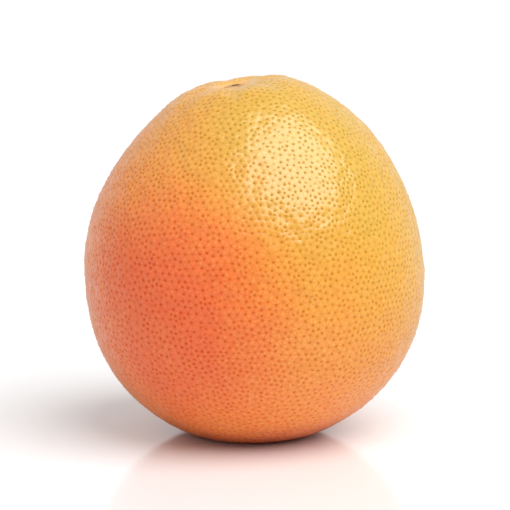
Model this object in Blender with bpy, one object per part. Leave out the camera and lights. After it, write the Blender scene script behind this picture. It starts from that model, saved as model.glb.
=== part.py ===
"""A whole grapefruit, standing on the small flat spot at its blossom end.

Two pieces: the fruit itself, and the dry calyx button left where its stalk was clipped.
Metres, +Z up. The origin is under the middle of the fruit, on the surface that it stands on.
Run with: blender --background --python part.py
"""

import math

import bmesh
import bpy
from mathutils import Matrix, Vector

# ---- Driving dimensions, in metres ----

# The fruit, measured along and across its own axis, which runs from blossom end to stem end.
EQUATOR_WIDTH = 0.1020
EQUATOR_DEPTH = 0.1005
STEM_SIDE_HEIGHT = 0.0616
BLOSSOM_SIDE_HEIGHT = 0.0486

# The shallow basin round the stalk, with its radial furrows, and the higher shoulder beside it.
BASIN_RADIUS = 0.0160
BASIN_DEPTH = 0.0022
FURROW_DEPTH = 0.0007
FURROW_REACH = 0.0210
HIGH_SHOULDER_RISE = 0.0013
HIGH_SHOULDER_REACH = 0.0350

# How far the blossom end is pressed in where the fruit stands, and how softly its edge turns.
FLAT_SPOT_DEPTH = 0.0024
FLAT_SPOT_SOFTNESS = 0.0003

# The calyx button, and the tight hollow in the middle of the basin that it sits in.
BUTTON_RADIUS = 0.0034
BUTTON_THICKNESS = 0.0012
STALK_SCAR_RADIUS = 0.0016
STALK_SCAR_DEPTH = 0.0004
SEAT_GAP = 0.0003
HOLLOW_DEPTH = 0.0010
HOLLOW_CLEARANCE = 0.0004
HOLLOW_WALL = 0.0026

# ---- Form, as ratios, counts and angles ----

STEM_SIDE_FULLNESS = 2.08
BLOSSOM_SIDE_FULLNESS = 2.05

# How much the fruit narrows towards the stem on its high side and, beyond that, on its low side.
# Below zero it is a little fuller instead. The focus keeps the change close to the stem end.
HIGH_SIDE_TAPER = -0.040
LOW_SIDE_TAPER = 0.263
TAPER_FOCUS = 3.0

FURROW_COUNT = 7
FURROW_CROWDING = 0.8
FURROW_START = 0.6
SEPAL_COUNT = 5
SEPAL_REACH = 0.16
BUTTON_EDGE_FULLNESS = 3.0
SCAR_FLOOR = 0.6

# Slight swellings round the fruit, where the sections inside press out: how many, where, how much.
LOBE_WAVES = ((3, 0.6, 0.0060), (5, -1.1, 0.0036))

# The fruit leans as it stands: its stem end points a little to -X and to -Y.
LEAN_TO_SIDE = math.radians(5.8)
LEAN_TO_FRONT = math.radians(2.0)

# ---- Mesh density ----

FRUIT_SEGMENTS = 68
FRUIT_RINGS = 64
STEM_RING_CROWDING = 1.6
BUTTON_SEGMENTS = 40
BUTTON_RINGS = 12
SHARP_EDGE_ANGLE = math.radians(50.0)

# ---- Materials: colour, roughness, metallic ----

PEEL_FINISH = ((0.86, 0.40, 0.075, 1.0), 0.42, 0.0)
CALYX_FINISH = ((0.19, 0.115, 0.045, 1.0), 0.80, 0.0)


def smooth_fade(value, start, end):
    """1 at start, 0 at end, with a level slope at both."""
    share = min(1.0, max(0.0, (value - start) / (end - start)))
    return 1.0 - share * share * (3.0 - 2.0 * share)


def crown_change(radius, azimuth):
    """How far the skin lies above a plain crown, at this distance from the stalk. Mostly below."""
    bowl = BASIN_DEPTH * smooth_fade(radius, 0.0, BASIN_RADIUS)
    brink = BUTTON_RADIUS * (1.0 + SEPAL_REACH) + HOLLOW_CLEARANCE
    hollow = HOLLOW_DEPTH * smooth_fade(radius, brink, brink + HOLLOW_WALL)
    beyond_button = 1.0 - smooth_fade(radius, BUTTON_RADIUS, BASIN_RADIUS)
    furrow = smooth_fade(radius, BASIN_RADIUS * FURROW_START, FURROW_REACH) * beyond_button
    # Uneven spacing: the furrows crowd on one side, as the sections below them do.
    wave = 0.5 + 0.5 * math.cos(FURROW_COUNT * azimuth + FURROW_CROWDING * math.sin(azimuth))
    # One shoulder, on the +X side, stands a little higher than the rest of the rim.
    hump = math.sin(math.pi * min(1.0, radius / HIGH_SHOULDER_REACH)) ** 2
    shoulder = HIGH_SHOULDER_RISE * hump * (0.5 + 0.5 * math.cos(azimuth))
    return shoulder - bowl - hollow - FURROW_DEPTH * furrow * wave**2


def skin_point(polar, azimuth):
    """A point of the skin. polar is 0 at the stalk and pi at the blossom end."""
    stem_side = polar < math.pi / 2
    height = STEM_SIDE_HEIGHT if stem_side else -BLOSSOM_SIDE_HEIGHT
    fullness = STEM_SIDE_FULLNESS if stem_side else BLOSSOM_SIDE_FULLNESS
    out = abs(math.sin(polar)) ** (2.0 / fullness)
    up = abs(math.cos(polar)) ** (2.0 / fullness)
    if stem_side:
        # The shoulder on the -X side falls away more than the other one.
        low_side = 0.5 - 0.5 * math.cos(azimuth)
        taper = HIGH_SIDE_TAPER + LOW_SIDE_TAPER * low_side
        out *= 1.0 - taper * math.sin(2.0 * polar) * math.cos(polar) ** TAPER_FOCUS
    swell = sum(share * math.cos(count * azimuth + turn) for count, turn, share in LOBE_WAVES)
    out *= 1.0 + swell * math.sin(polar) ** 2
    x = out * math.cos(azimuth) * EQUATOR_WIDTH / 2
    y = out * math.sin(azimuth) * EQUATOR_DEPTH / 2
    z = height * up
    if stem_side:
        z += crown_change(math.hypot(x, y), azimuth)
    return Vector((x, y, z))


def polar_at(radius):
    """The polar angle at which the stem side is about this far from the axis."""
    share = min(1.0, radius / (EQUATOR_WIDTH / 2))
    return math.asin(share ** (STEM_SIDE_FULLNESS / 2.0))


def lean():
    """The turn from the fruit's own axis to the way that it stands."""
    return Matrix.Rotation(LEAN_TO_FRONT, 4, "X") @ Matrix.Rotation(-LEAN_TO_SIDE, 4, "Y")


def unit_ball(segments, rings):
    """A ball of radius 1 with its poles on Z, ready to be shaped point by point."""
    ball = bmesh.new()
    bmesh.ops.create_uvsphere(ball, u_segments=segments, v_segments=rings, radius=1.0)
    return ball


def angles_of(point):
    """(polar, azimuth) of a point on the unit ball."""
    return math.acos(max(-1.0, min(1.0, point.z))), math.atan2(point.y, point.x)


def fruit_shape():
    """The whole fruit as a closed mesh in standing position, before its flat spot."""
    shape = unit_ball(FRUIT_SEGMENTS, FRUIT_RINGS)
    for vertex in shape.verts:
        polar, azimuth = angles_of(vertex.co)
        crowded = math.pi * (polar / math.pi) ** STEM_RING_CROWDING
        vertex.co = skin_point(crowded, azimuth)
    shape.transform(lean())
    return shape


def press_flat(shape, level):
    """Lifts all that lies below this level up to it, with a soft turn at the edge of the flat."""
    for vertex in shape.verts:
        above = vertex.co.z - level
        if above < -FLAT_SPOT_SOFTNESS:
            vertex.co.z = level
        elif above < FLAT_SPOT_SOFTNESS:
            vertex.co.z = level + (above + FLAT_SPOT_SOFTNESS) ** 2 / (4.0 * FLAT_SPOT_SOFTNESS)


def button_point(polar, azimuth):
    """A point of the calyx button. polar is 0 at its top, pi under it."""
    sepals = 1.0 + SEPAL_REACH * math.cos(SEPAL_COUNT * azimuth)
    out = abs(math.sin(polar)) ** (2.0 / BUTTON_EDGE_FULLNESS)
    side = math.copysign(abs(math.cos(polar)) ** (2.0 / BUTTON_EDGE_FULLNESS), math.cos(polar))
    radius = BUTTON_RADIUS * sepals * out
    rise = SEAT_GAP + BUTTON_THICKNESS * 0.5 * (1.0 + side)
    if side > 0.0:
        scar = smooth_fade(radius, STALK_SCAR_RADIUS * SCAR_FLOOR, STALK_SCAR_RADIUS)
        rise -= STALK_SCAR_DEPTH * scar
    return skin_point(polar_at(radius), azimuth) + Vector((0.0, 0.0, rise))


def button_shape():
    """The calyx button as a closed mesh, seated over the skin with its gap."""
    shape = unit_ball(BUTTON_SEGMENTS, BUTTON_RINGS)
    for vertex in shape.verts:
        vertex.co = button_point(*angles_of(vertex.co))
    shape.transform(lean())
    return shape


def standing_offset(shape):
    """The move that puts the origin under the middle of the shape, at its lowest level."""
    low = Vector([min(v.co[axis] for v in shape.verts) for axis in range(3)])
    high = Vector([max(v.co[axis] for v in shape.verts) for axis in range(3)])
    middle = (low + high) / 2
    return Vector((-middle.x, -middle.y, -low.z))


def finish_material(name, finish):
    """A Principled material with this colour, roughness and metallic value."""
    colour, roughness, metallic = finish
    material = bpy.data.materials.new(name)
    material.use_nodes = True
    surface = material.node_tree.nodes["Principled BSDF"]
    surface.inputs["Base Color"].default_value = colour
    surface.inputs["Roughness"].default_value = roughness
    surface.inputs["Metallic"].default_value = metallic
    return material


def add_piece(name, shape, material, parent):
    """Turns the shape into a smooth-shaded object under the parent."""
    bmesh.ops.recalc_face_normals(shape, faces=shape.faces[:])
    mesh = bpy.data.meshes.new(name)
    shape.to_mesh(mesh)
    shape.free()
    mesh.shade_smooth()
    mesh.set_sharp_from_angle(angle=SHARP_EDGE_ANGLE)
    mesh.materials.append(material)
    piece = bpy.data.objects.new(name, mesh)
    piece.parent = parent
    bpy.context.scene.collection.objects.link(piece)
    return piece


def main():
    for old in list(bpy.data.objects):
        bpy.data.objects.remove(old)

    fruit = fruit_shape()
    lowest = min(vertex.co.z for vertex in fruit.verts)
    press_flat(fruit, lowest + FLAT_SPOT_DEPTH)

    stand = bpy.data.objects.new("grapefruit", None)
    stand.location = standing_offset(fruit)
    bpy.context.scene.collection.objects.link(stand)

    add_piece("fruit", fruit, finish_material("peel", PEEL_FINISH), stand)
    add_piece("calyx_button", button_shape(), finish_material("calyx", CALYX_FINISH), stand)


main()
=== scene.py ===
"""A whole grapefruit: pitted, waxy peel and the dry calyx left where its stalk was clipped.

The peel is wrapped on the fruit's solid, and every oil gland is a small pit in its mesh.
The calyx is a five-lobed woody button, draped in the basin at the stem end.
Metres, +Z up, in the part's own frame.
"""

import math

import bpy
import numpy as np
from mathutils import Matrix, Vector


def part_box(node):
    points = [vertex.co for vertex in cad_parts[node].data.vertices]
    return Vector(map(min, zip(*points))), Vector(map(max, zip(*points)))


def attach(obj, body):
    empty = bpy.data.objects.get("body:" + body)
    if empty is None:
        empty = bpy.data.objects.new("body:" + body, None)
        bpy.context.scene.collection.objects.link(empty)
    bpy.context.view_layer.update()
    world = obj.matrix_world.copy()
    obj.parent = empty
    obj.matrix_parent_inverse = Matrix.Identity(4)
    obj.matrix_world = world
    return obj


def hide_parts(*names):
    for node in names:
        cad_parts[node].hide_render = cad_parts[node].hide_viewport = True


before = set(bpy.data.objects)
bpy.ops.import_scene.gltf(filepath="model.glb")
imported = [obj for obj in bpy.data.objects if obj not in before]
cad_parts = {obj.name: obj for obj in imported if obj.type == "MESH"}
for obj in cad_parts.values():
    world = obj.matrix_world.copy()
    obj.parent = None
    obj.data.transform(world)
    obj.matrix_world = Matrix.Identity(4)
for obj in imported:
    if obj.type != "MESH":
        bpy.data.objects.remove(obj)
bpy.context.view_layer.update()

MM = 0.001
FRUIT_LOW, FRUIT_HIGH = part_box("fruit")
CALYX_LOW, CALYX_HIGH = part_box("calyx_button")
FRUIT_CENTRE = (FRUIT_LOW + FRUIT_HIGH) / 2
CALYX_CENTRE = (CALYX_LOW + CALYX_HIGH) / 2
STEM_AXIS = (CALYX_CENTRE - FRUIT_CENTRE).normalized()
BLOSSOM_END = FRUIT_CENTRE - STEM_AXIS * (FRUIT_CENTRE.z / STEM_AXIS.z)

# ---- The peel's own measures ----

# The form's broad swellings, and the shallow dents between them.
SWELL_WIDTH, SWELL_HEIGHT = 22 * MM, 0.6 * MM
DENT_WIDTH, DENT_HEIGHT = 3.6 * MM, 0.42 * MM

# The glands' pattern: the points of a ball that is split this often lie about 2 mm apart here.
# They are shuffled and spread again, and those that still lie too close are merged.
GLAND_BALL_SPLITS = 6
GLAND_SHIFT = 0.5 * MM
GLAND_SHUFFLES, GLAND_SPREADS = 4, 6
GLANDS_APART = 1.25 * MM

# The pits: how deep and how dark a rim is beside its middle, and how shallow a pit may be.
PIT_RADIUS = 0.54 * MM
PIT_DEPTH = 0.22 * MM
PIT_RIM_SHARE = 0.45
PIT_RIM_SHADE = 0.4
SHALLOWEST_GLAND = 0.45

# Between the pits the skin swells by chance, except that the highest chances make a small gland.
PEBBLE_HEIGHT = 0.13 * MM
LOWEST_PEBBLE, PEBBLE_SPREAD = 0.3, 0.9
SMALL_GLANDS_FROM, SMALL_GLAND_SHARE = 0.82, 0.17

# Round the calyx the skin is bare as far as the first reach, and fully pitted from the second.
BARE_REACH, PITTED_REACH = 3.5 * MM, 8.0 * MM

# The scar of the style, in the middle of the blossom end.
STYLE_SCAR_RADIUS = 2.6 * MM
STYLE_SCAR_DEPTH = 0.5 * MM

# ---- The calyx's own measures ----

SEPALS = 5
STEPS_PER_SEPAL = 12
SEPAL_RINGS = 4
CALYX_RADIUS = 3.6 * MM
CALYX_THICKNESS = 0.7 * MM
CALYX_START, CALYX_LIFT = 2 * MM, 0.1 * MM
KNOT_WIDTH, KNOT_HEIGHT = 1.0 * MM, 0.22 * MM

# How much of its reach the rim keeps, step by step from the gap between two sepals.
SEPAL_EDGE = (0.12, 0.48, 0.78, 0.92, 0.98)

# The stalk's scar: its rings on the flat disc, then the steps that raise its collar and sink its
# core. Each step is how far in, as a share of the scar, and how far up, as a share of the collar.
STALK_SCAR_RADIUS = 1.5 * MM
SCAR_RINGS = (0.15, 0.25, 0.25)
SCAR_COLLAR_HEIGHT = 0.35 * MM
SCAR_STEPS = ((0.12, 1.0), (0.30, 0.0), (0.20, -1.3), (0.35, 0.5))

# ---- The studio ----

CAMERA_PLACE = FRUIT_CENTRE + Vector((-0.059, -0.691, 0.1115))
CAMERA_LENS = 165.0
TABLE_WIDTH = 30.0
TABLE_PAINT = (0.88, 0.88, 0.88, 1.0)
WHITE = (1.0, 1.0, 1.0, 1.0)
SWEEP_LIGHT = 1.05
ROOM_LIGHT = 0.37
SOFTBOX_WAY = (0.41, -0.41, 0.81)
SOFTBOX_BREADTH = math.radians(60.0)
SOFTBOX_LIGHT = 3.3
FILL_WAY = (-0.62, -0.45, 0.64)
FILL_BREADTH = math.radians(90.0)
FILL_LIGHT = 0.36


# ---- Modelling helpers ----


def only(piece):
    """Selects this object alone and makes it the active one."""
    bpy.ops.object.select_all(action="DESELECT")
    piece.select_set(True)
    bpy.context.view_layer.objects.active = piece


def newest(name):
    """Names the object that the last operator added."""
    piece = bpy.context.view_layer.objects.active
    piece.name = name
    piece.data.name = name
    return piece


def editing(piece, kind="VERT"):
    """Opens the piece in edit mode, to work on its points or on its faces."""
    only(piece)
    bpy.context.tool_settings.mesh_select_mode = (kind == "VERT", False, kind == "FACE")
    bpy.ops.object.mode_set(mode="EDIT")


def edited():
    """Goes back to object mode, which also writes the edits to the mesh."""
    bpy.ops.object.mode_set(mode="OBJECT")


def apply_modifier(piece, kind, **settings):
    """Adds a modifier with these settings and applies it at once."""
    only(piece)
    modifier = piece.modifiers.new(kind.lower(), kind)
    for name, value in settings.items():
        setattr(modifier, name, value)
    bpy.ops.object.modifier_apply(modifier=modifier.name)


def points_of(piece):
    """The mesh's points as an array with one row each."""
    flat = np.empty(len(piece.data.vertices) * 3, np.float32)
    piece.data.vertices.foreach_get("co", flat)
    return flat.reshape(-1, 3)


def select_points(piece, chosen):
    """Selects the points whose entry in this array is true, and nothing else. In object mode."""
    mesh = piece.data
    mesh.polygons.foreach_set("select", np.zeros(len(mesh.polygons), bool))
    mesh.edges.foreach_set("select", np.zeros(len(mesh.edges), bool))
    mesh.vertices.foreach_set("select", np.ascontiguousarray(chosen, bool))


def weigh(piece, name, weights):
    """Makes a vertex group that holds these weights, where they aren't zero."""
    group = piece.vertex_groups.new(name=name)
    for index in np.flatnonzero(weights):
        group.add([int(index)], float(weights[index]), "REPLACE")


def mark_points(piece, name, values):
    """Keeps one value for each point as an attribute, which a finish can read."""
    marks = piece.data.attributes.new(name, "FLOAT", "POINT")
    marks.data.foreach_set("value", np.ascontiguousarray(values, np.float32))


def cloud_texture(name, width):
    """Soft lumps of about this width, to displace a mesh with."""
    texture = bpy.data.textures.new(name, "CLOUDS")
    texture.noise_scale = width
    texture.noise_depth = 1
    return texture


# ---- Shader helpers ----


class Wire:
    """An output socket. An expression on it adds the Math nodes that work it out."""

    def __init__(self, finish, socket):
        self.finish = finish
        self.socket = socket

    def maths(self, operation, *operands):
        inputs = dict(enumerate(operands))
        return self.finish.node("Math", {"operation": operation}, inputs)

    def __add__(self, other):
        return self.maths("ADD", self, other)

    def __radd__(self, other):
        return self.maths("ADD", other, self)

    def __sub__(self, other):
        return self.maths("SUBTRACT", self, other)

    def __rsub__(self, other):
        return self.maths("SUBTRACT", other, self)

    def __mul__(self, other):
        return self.maths("MULTIPLY", self, other)

    def __rmul__(self, other):
        return self.maths("MULTIPLY", other, self)


class Finish:
    """A material whose nodes are added one by one."""

    def __init__(self, name, **constants):
        self.material = bpy.data.materials.new(name)
        self.material.use_nodes = True
        self.tree = self.material.node_tree
        self.surface = self.tree.nodes["Principled BSDF"]
        for socket, value in constants.items():
            self.surface.inputs[socket.replace("_", " ")].default_value = value

    def feed(self, socket, value):
        """Links a wire to the socket, or sets the socket to a plain value."""
        if isinstance(value, Wire):
            self.tree.links.new(value.socket, socket)
        else:
            socket.default_value = value

    def node(self, kind, settings, inputs, output=0):
        """Adds a node, sets it up, feeds its inputs, and gives one of its outputs."""
        made = self.tree.nodes.new("ShaderNode" + kind)
        for name, value in settings.items():
            setattr(made, name, value)
        for key, value in inputs.items():
            self.feed(made.inputs[key], value)
        return Wire(self, made.outputs[output])

    def shine(self, **inputs):
        """Feeds the surface's own sockets."""
        for socket, value in inputs.items():
            self.feed(self.surface.inputs[socket.replace("_", " ")], value)

    def place(self):
        """Where on the piece a spot of its surface lies."""
        return self.node("TexCoord", {}, {}, "Object")

    def attribute(self, name):
        """A value that mark_points kept for each point."""
        return self.node("Attribute", {"attribute_name": name}, {}, "Fac")

    def noise(self, place, width, detail=2.0):
        """Noise from 0 to 1 whose lumps are about this wide, in metres."""
        inputs = {"Vector": place, "Scale": 1.0 / width, "Detail": detail}
        return self.node("TexNoise", {}, inputs, "Fac")

    def bump(self, height, distance, strength):
        """The normal of a surface that this relief, this deep in metres, roughens."""
        return self.node("Bump", {}, {"Strength": strength, "Distance": distance, "Height": height})

    def towards(self, place, direction):
        """1 on the side of the fruit that faces this way, -1 on the opposite side."""
        out = self.node("VectorMath", {"operation": "SUBTRACT"}, {0: place, 1: FRUIT_CENTRE})
        unit = self.node("VectorMath", {"operation": "NORMALIZE"}, {0: out})
        way = Vector(direction).normalized()
        return self.node("VectorMath", {"operation": "DOT_PRODUCT"}, {0: unit, 1: way}, "Value")

    def distance(self, place, spot):
        """How far a place on the surface is from this spot, in millimetres."""
        away = self.node("VectorMath", {"operation": "DISTANCE"}, {0: place, 1: spot}, "Value")
        return away * (1.0 / MM)

    def ease(self, value, start, end):
        """0 at start and 1 at end, with a soft turn at both."""
        inputs = {"Value": value, "From Min": start, "From Max": end}
        return self.node("MapRange", {"interpolation_type": "SMOOTHSTEP"}, inputs)

    def mix(self, share, first, second, blend="MIX"):
        """The first colour where share is 0, the second where it is 1."""
        settings = {"data_type": "RGBA", "blend_type": blend}
        return self.node("Mix", settings, {0: share, 6: first, 7: second}, 2)


def paint(red, green, blue):
    """A colour as a paint chart gives it, 0 to 255, turned into linear light."""
    linear = []
    for share in (red / 255, green / 255, blue / 255):
        linear.append(share / 12.92 if share <= 0.04045 else ((share + 0.055) / 1.055) ** 2.4)
    return (*linear, 1.0)


# ---- The peel ----

# The golden side, partly the fruit's own tone and partly painted light on the side facing the softbox.
GOLDEN_LIT_SIDE = (0.68, -0.12, 0.72)
# Where the softbox's highlight falls, for a painted highlight tint.
HIGHLIGHT_SIDE = (0.22, -0.65, 0.73)
# The underside, for painted shade.
SHADED_UNDERSIDE = (0.0, 0.0, -1.0)
# The deeply blushed cheek, partly real blush and partly painted red bounce light.
BLUSH_AND_BOUNCE_CHEEK = (-0.60, -0.78, -0.20)
FAR_CHEEK = (0.55, 0.80, -0.10)

ORANGE = paint(240, 126, 34)
GOLD = paint(210, 161, 40)
HIGHLIGHT_PALE_GOLD = paint(190, 161, 54)
SHADE_ORANGE = paint(206, 72, 20)
BLUSH_AND_BOUNCE_RED = paint(234, 90, 16)
FAINT_BLUSH = paint(238, 120, 34)
TAN = paint(232, 186, 120)
HOLLOW_BROWN = paint(170, 110, 58)
SCAR_BROWN = paint(150, 98, 56)
GRAIN_YELLOW = paint(244, 180, 62)
NET_YELLOW = paint(246, 184, 66)

# What the glands take from the colour round them, on orange and on golden skin.
ORANGE_DOTS = (0.74, 0.55, 0.38, 1.0)
GOLDEN_DOTS = (0.60, 0.59, 0.44, 1.0)


def fruit_form():
    """A smooth, closed copy of the fruit's solid, which the peel and the calyx are laid on."""
    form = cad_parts["fruit"].copy()
    form.data = form.data.copy()
    form.name = "fruit_form"
    form.parent = None
    bpy.context.scene.collection.objects.link(form)
    editing(form)
    bpy.ops.mesh.select_all(action="SELECT")
    bpy.ops.mesh.remove_doubles(threshold=0.01 * MM)
    bpy.ops.mesh.tris_convert_to_quads()
    edited()
    apply_modifier(form, "SUBSURF", levels=2, render_levels=2)
    return form


def peel_finish():
    """Waxy skin, golden to orange with a blush, with darker, duller dots where the glands are. Its
    colour also holds painted light: a yellower lit side, a pale highlight tint, a shaded underside and
    red bounce light on the blushed cheek.
    """
    finish = Finish(
        "peel",
        IOR=1.45,
        Subsurface_Weight=0.10,
        Subsurface_Radius=(1.0, 0.35, 0.12),
        Subsurface_Scale=2.0 * MM,
        Specular_IOR_Level=0.12,
        Coat_Roughness=0.24,
        Coat_IOR=1.75,
    )
    place = finish.place()
    pore = finish.attribute("pore")
    pebble = finish.attribute("pebble")

    # The ground colour: golden on the upper shoulder, orange lower down, with soft patches.
    patches = finish.noise(place, 16 * MM) - 0.5
    # The golden side is partly the fruit's own tone and partly painted light: the side facing the
    # softbox is painted yellower.
    lit_shoulder = finish.towards(place, GOLDEN_LIT_SIDE) + patches * 0.4
    golden_and_lit = finish.ease(lit_shoulder, -0.6, 1.05)
    ground = finish.mix(golden_and_lit, ORANGE, GOLD)
    # Painted highlight: the skin is painted paler and yellower where the softbox's highlight falls.
    painted_highlight = finish.towards(place, HIGHLIGHT_SIDE) + patches * 0.2
    ground = finish.mix(finish.ease(painted_highlight, 0.72, 1.0) * 0.42, ground, HIGHLIGHT_PALE_GOLD)
    # Painted shade: a deeper orange is painted on the underside, where the fruit is shaded.
    underside_shade = finish.towards(place, SHADED_UNDERSIDE) + patches * 0.1
    ground = finish.mix(finish.ease(underside_shade, 0.78, 0.95) * 0.9, ground, SHADE_ORANGE)

    # The blush, deepest on one cheek and fainter on the opposite one. The deep cheek is partly the
    # fruit's own blush and partly painted red bounce light.
    cheek_and_bounce = finish.towards(place, BLUSH_AND_BOUNCE_CHEEK) + patches * 0.25
    blush_and_bounce = finish.ease(cheek_and_bounce, 0.62, 1.04)
    blushed_and_bounced = finish.mix(blush_and_bounce, ground, BLUSH_AND_BOUNCE_RED)
    far_cheek = finish.towards(place, FAR_CHEEK) + patches * 0.5
    blushed_and_bounced = finish.mix(finish.ease(far_cheek, 0.55, 1.1) * 0.6, blushed_and_bounced, FAINT_BLUSH)

    # The skin pales to tan round the calyx, and browns in the calyx's hollow and on the style scar.
    from_calyx = finish.distance(place, CALYX_CENTRE) + patches * 2.5
    paled = finish.mix(finish.ease(from_calyx, 9.0, 4.0) * 0.55, blushed_and_bounced, TAN)
    browned = finish.mix(finish.ease(from_calyx, 5.0, 3.6) * 0.7, paled, HOLLOW_BROWN)
    from_scar = finish.distance(place, BLOSSOM_END)
    browned = finish.mix(finish.ease(from_scar, 2.6, 1.6) * 0.8, browned, SCAR_BROWN)

    # Fine grain and a pale net between the glands, fainter on the blush and its painted bounce light,
    # and the glands themselves.
    pale = 1.0 - blush_and_bounce * 0.7
    grain = finish.noise(place, 0.9 * MM, 3.0)
    grained = finish.mix(finish.ease(grain, 0.40, 0.75) * 0.35 * pale, browned, GRAIN_YELLOW)
    netted = finish.mix(finish.ease(pebble, 0.1, 1.0) * 0.28 * pale, grained, NET_YELLOW)
    dots = finish.ease(pore, 0.0, 0.60)
    dot_tint = finish.mix(golden_and_lit, ORANGE_DOTS, GOLDEN_DOTS)
    dotted = finish.mix(dots * 0.88, netted, dot_tint, "MULTIPLY")

    # The wax is missing in the pits, which are duller too.
    roughness = 0.28 + grain * 0.08 + dots * 0.30
    waxed = 0.74 - dots * 0.72
    bump = finish.bump(finish.noise(place, 1.1 * MM, 2.0), distance=0.10 * MM, strength=0.2)
    finish.shine(Base_Color=dotted, Roughness=roughness, Coat_Weight=waxed, Normal=bump)
    return finish.material


def scatter_glands(peel):
    """Shuffles the ball's points, which become the glands, into an uneven but well spread pattern."""
    editing(peel)
    bpy.ops.mesh.select_all(action="SELECT")
    for seed in range(GLAND_SHUFFLES):
        bpy.ops.transform.vertex_random(offset=GLAND_SHIFT, uniform=1.0, normal=0.0, seed=seed)
        bpy.ops.mesh.beautify_fill()
    for _ in range(GLAND_SPREADS):
        bpy.ops.mesh.vertices_smooth(factor=0.5)
        bpy.ops.mesh.beautify_fill()
    bpy.ops.mesh.remove_doubles(threshold=GLANDS_APART)
    bpy.ops.mesh.beautify_fill()
    edited()


def poke_faces(peel, slot):
    """Gives each face of this material slot a point in its middle. Returns how many points there are."""
    slots = np.empty(len(peel.data.polygons), np.int32)
    peel.data.polygons.foreach_get("material_index", slots)
    peel.data.polygons.foreach_set("select", slots == slot)
    editing(peel, "FACE")
    bpy.ops.mesh.poke()
    edited()
    return len(peel.data.vertices)


def ring_glands(peel):
    """Puts a ring round each gland, and a middle in each ring and in each patch of skin between.

    Returns how many points there are in the rings, and in the rings and the glands together."""
    skin, rings = 0, 1
    for _ in (skin, rings):
        peel.data.materials.append(None)
    editing(peel)
    bpy.ops.mesh.select_all(action="SELECT")
    bpy.ops.mesh.bevel(
        offset_type="OFFSET", offset=PIT_RADIUS, segments=1, affect="VERTICES", material=rings
    )
    edited()
    ring_points = len(peel.data.vertices)
    ring_and_gland_points = poke_faces(peel, rings)
    poke_faces(peel, skin)
    peel.data.polygons.foreach_set("material_index", np.zeros(len(peel.data.polygons), np.int32))
    peel.data.materials.clear()
    return ring_points, ring_and_gland_points


def nearness(points, place, full, none):
    """1 where a point is closer to the place than full, 0 where it is further than none."""
    away = np.linalg.norm(points - np.array(place), axis=1)
    return np.clip((none - away) / (none - full), 0.0, 1.0)


def pit_depths(peel, ring_points, ring_and_gland_points):
    """How deep the skin is pressed in at each point, and how far it swells, both 0 to 1."""
    draw = np.random.default_rng(7)
    points = points_of(peel)
    depth = np.zeros(len(points), np.float32)
    swell = np.zeros(len(points), np.float32)
    gland = slice(ring_points, ring_and_gland_points)
    between = slice(ring_and_gland_points, len(points))
    depth[:ring_points] = PIT_RIM_SHARE
    depth[gland] = draw.uniform(SHALLOWEST_GLAND, 1.0, len(depth[gland]))
    chance = draw.uniform(0.0, 1.0, len(depth[between]))
    small = chance > SMALL_GLANDS_FROM
    depth[between] = np.where(small, SMALL_GLAND_SHARE * chance, 0.0)
    swell[between] = np.where(small, 0.0, LOWEST_PEBBLE + PEBBLE_SPREAD * chance)
    # The skin is bare and smooth close to the calyx.
    pitted = 1.0 - nearness(points, CALYX_CENTRE, BARE_REACH, PITTED_REACH)
    return depth * pitted, swell * pitted


def make_peel(form):
    """The whole outside of the fruit, with one pit for each oil gland."""
    bpy.ops.object.select_all(action="DESELECT")
    bpy.ops.mesh.primitive_ico_sphere_add(
        subdivisions=GLAND_BALL_SPLITS, radius=1.0, location=FRUIT_CENTRE
    )
    peel = newest("peel")
    peel.scale = (FRUIT_HIGH - FRUIT_LOW) / 2
    bpy.ops.object.transform_apply(location=True, rotation=False, scale=True)
    scatter_glands(peel)
    apply_modifier(
        peel, "SHRINKWRAP", target=form, wrap_method="PROJECT",
        use_negative_direction=True, use_positive_direction=True,
    )
    ring_points, ring_and_gland_points = ring_glands(peel)
    apply_modifier(peel, "SHRINKWRAP", target=form, wrap_method="NEAREST_SURFACEPOINT")
    depth, swell = pit_depths(peel, ring_points, ring_and_gland_points)
    style_scar = nearness(points_of(peel), BLOSSOM_END, 0.0, STYLE_SCAR_RADIUS)

    # The form isn't perfectly even.
    swells = cloud_texture("swells", SWELL_WIDTH)
    apply_modifier(peel, "DISPLACE", texture=swells, strength=SWELL_HEIGHT, mid_level=0.5)
    dents = cloud_texture("dents", DENT_WIDTH)
    apply_modifier(peel, "DISPLACE", texture=dents, strength=DENT_HEIGHT, mid_level=0.5)

    for name, weights, height in (
        ("pits", depth, -PIT_DEPTH),
        ("pebbles", swell, PEBBLE_HEIGHT),
        ("style_scar", style_scar, -STYLE_SCAR_DEPTH),
    ):
        weigh(peel, name, weights)
        apply_modifier(peel, "DISPLACE", vertex_group=name, strength=height, mid_level=0.0)
    peel.vertex_groups.clear()

    # A gland's colour fades out just past its rim.
    depth[:ring_points] *= PIT_RIM_SHADE
    mark_points(peel, "pore", depth)
    mark_points(peel, "pebble", swell)

    # It stands flat: nothing hangs below the spot that it rests on.
    select_points(peel, points_of(peel)[:, 2] < FRUIT_LOW.z)
    editing(peel)
    bpy.ops.transform.resize(value=(1.0, 1.0, 0.0), center_override=(0.0, 0.0, FRUIT_LOW.z))
    edited()

    only(peel)
    bpy.ops.object.shade_smooth()
    peel.data.materials.append(peel_finish())
    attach(peel, "root")
    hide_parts("fruit")


# ---- The calyx ----

DARK_WOOD = paint(176, 120, 72)
PALE_WOOD = paint(222, 178, 126)
LICHEN = paint(168, 150, 84)
SCAR_WOOD = paint(104, 80, 44)


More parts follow.
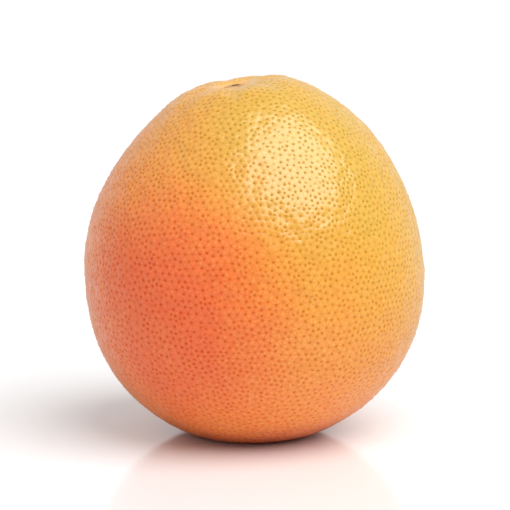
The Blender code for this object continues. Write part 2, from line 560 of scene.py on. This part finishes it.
def calyx_finish():
    """Dry, matt wood, greenish in patches and dark on the scar of the stalk."""
    finish = Finish("calyx", IOR=1.4)
    place = finish.place()
    grain = finish.noise(place, 0.5 * MM, 4.0)
    patches = finish.noise(place, 2.2 * MM, 2.0)
    wood = finish.mix(finish.ease(grain, 0.3, 0.7), DARK_WOOD, PALE_WOOD)
    aged = finish.mix(finish.ease(patches, 0.45, 0.75) * 0.5, wood, LICHEN)
    from_middle = finish.distance(place, CALYX_CENTRE) + grain * 0.6
    scarred = finish.mix(finish.ease(from_middle, 2.2, 1.4) * 0.85, aged, SCAR_WOOD)
    bump = finish.bump(grain, distance=0.15 * MM, strength=0.6)
    finish.shine(Base_Color=scarred, Roughness=0.68 + grain * 0.2, Normal=bump)
    return finish.material


def faces_near_scar(calyx, reach):
    """Which faces look out of the fruit and lie within this distance of the stalk's middle."""
    chosen = []
    for face in calyx.data.polygons:
        out = face.center - CALYX_CENTRE
        aside = (out - STEM_AXIS * out.dot(STEM_AXIS)).length
        chosen.append(aside < reach and face.normal.dot(STEM_AXIS) > 0.5)
    return chosen


def sepal_disc():
    """A flat disc of rings round the stalk's scar, its rim drawn in between the sepals."""
    steps = SEPALS * STEPS_PER_SEPAL
    bpy.ops.object.select_all(action="DESELECT")
    bpy.ops.mesh.primitive_circle_add(
        vertices=steps, radius=CALYX_RADIUS, fill_type="NGON", location=(0, 0, 0)
    )
    disc = newest("calyx")
    spare = (CALYX_RADIUS - STALK_SCAR_RADIUS) / SEPAL_RINGS
    editing(disc, "FACE")
    bpy.ops.mesh.select_all(action="SELECT")
    for _ in range(SEPAL_RINGS):
        bpy.ops.mesh.inset(thickness=spare)
    for share in SCAR_RINGS:
        bpy.ops.mesh.inset(thickness=STALK_SCAR_RADIUS * share)
    edited()

    points = points_of(disc)
    radius = np.hypot(points[:, 0], points[:, 1])
    step = np.round(np.arctan2(points[:, 1], points[:, 0]) / (2 * math.pi) * steps)
    from_gap = np.minimum(step % STEPS_PER_SEPAL, -step % STEPS_PER_SEPAL)
    for ring in range(SEPAL_RINGS):
        reach = CALYX_RADIUS - ring * spare
        for apart, kept in enumerate(SEPAL_EDGE):
            chosen = (from_gap == apart) & (np.abs(radius - reach) < spare / 4)
            pull = (STALK_SCAR_RADIUS + (reach - STALK_SCAR_RADIUS) * kept) / reach
            select_points(disc, chosen)
            editing(disc)
            bpy.ops.transform.resize(value=(pull, pull, 1.0), center_override=(0, 0, 0))
            edited()
    return disc


def make_calyx(form):
    """Five blunt sepals round the scar of the stalk, lying in the hollow."""
    calyx = sepal_disc()
    calyx.rotation_mode = "QUATERNION"
    calyx.rotation_quaternion = Vector((0, 0, 1)).rotation_difference(STEM_AXIS)
    calyx.location = CALYX_CENTRE + STEM_AXIS * CALYX_START
    only(calyx)
    bpy.ops.object.transform_apply(location=True, rotation=True, scale=True)
    apply_modifier(
        calyx, "SHRINKWRAP", target=form, wrap_method="PROJECT", offset=CALYX_LIFT,
        use_negative_direction=True, use_positive_direction=True,
    )
    apply_modifier(calyx, "SOLIDIFY", thickness=CALYX_THICKNESS, offset=1.0)

    # The stalk's scar is a raised collar round a sunken, fibrous core.
    calyx.data.polygons.foreach_set("select", faces_near_scar(calyx, STALK_SCAR_RADIUS))
    editing(calyx, "FACE")
    for inset, lift in SCAR_STEPS:
        bpy.ops.mesh.inset(thickness=inset * STALK_SCAR_RADIUS)
        bpy.ops.transform.translate(value=STEM_AXIS * lift * SCAR_COLLAR_HEIGHT)
    edited()
    apply_modifier(calyx, "SUBSURF", levels=2, render_levels=2)
    knots = cloud_texture("knots", KNOT_WIDTH)
    apply_modifier(calyx, "DISPLACE", texture=knots, strength=KNOT_HEIGHT, mid_level=0.5)

    only(calyx)
    bpy.ops.object.shade_smooth()
    calyx.data.materials.clear()
    calyx.data.materials.append(calyx_finish())
    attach(calyx, "root")
    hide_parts("calyx_button")


# ---- The studio ----


def make_floor():
    """A white, slightly glossy table top that reaches far past the view."""
    bpy.ops.object.select_all(action="DESELECT")
    bpy.ops.mesh.primitive_plane_add(size=TABLE_WIDTH, location=(0, 0, FRUIT_LOW.z))
    floor = newest("floor")
    finish = Finish("table_top", Base_Color=TABLE_PAINT, Roughness=0.12, IOR=1.4)
    floor.data.materials.append(finish.material)


def aim(thing, target):
    """Turns a lamp or camera so that it looks at the target."""
    thing.rotation_euler = (target - thing.location).to_track_quat("-Z", "Y").to_euler()


def add_soft_light(name, direction, breadth, strength):
    """A broad light that shines evenly from this direction; breadth is how wide it looks."""
    place = FRUIT_CENTRE + Vector(direction).normalized()
    bpy.ops.object.light_add(type="SUN", location=place)
    lamp = newest(name)
    lamp.data.angle = breadth
    lamp.data.energy = strength
    aim(lamp, FRUIT_CENTRE)


def light_studio():
    """A big softbox overhead and a weak fill, in a dim room with a white sweep round the table."""
    world = bpy.data.worlds.new("white_room")
    bpy.context.scene.world = world
    world.use_nodes = True
    nodes, links = world.node_tree.nodes, world.node_tree.links
    sweep = nodes["Background"]
    room = nodes.new("ShaderNodeBackground")
    for background, strength in ((sweep, SWEEP_LIGHT), (room, ROOM_LIGHT)):
        background.inputs["Color"].default_value = WHITE
        background.inputs["Strength"].default_value = strength

    # Matt surfaces are lit by the dim room. The view and the gloss show the white sweep.
    seen = nodes.new("ShaderNodeLightPath")
    mixed = nodes.new("ShaderNodeMixShader")
    links.new(seen.outputs["Is Diffuse Ray"], mixed.inputs[0])
    links.new(sweep.outputs[0], mixed.inputs[1])
    links.new(room.outputs[0], mixed.inputs[2])
    links.new(mixed.outputs[0], nodes["World Output"].inputs["Surface"])

    add_soft_light("top_softbox", SOFTBOX_WAY, SOFTBOX_BREADTH, SOFTBOX_LIGHT)
    add_soft_light("left_fill", FILL_WAY, FILL_BREADTH, FILL_LIGHT)
    bpy.context.scene.view_settings.view_transform = "Standard"


def add_camera():
    """A long lens a little above the fruit's middle, looking straight at it."""
    bpy.ops.object.camera_add(location=CAMERA_PLACE)
    camera = newest("camera")
    camera.data.sensor_width = 36.0
    camera.data.lens = CAMERA_LENS
    aim(camera, FRUIT_CENTRE)
    bpy.context.scene.camera = camera


form = fruit_form()
make_peel(form)
make_calyx(form)
bpy.data.objects.remove(form)
make_floor()
light_studio()
add_camera()
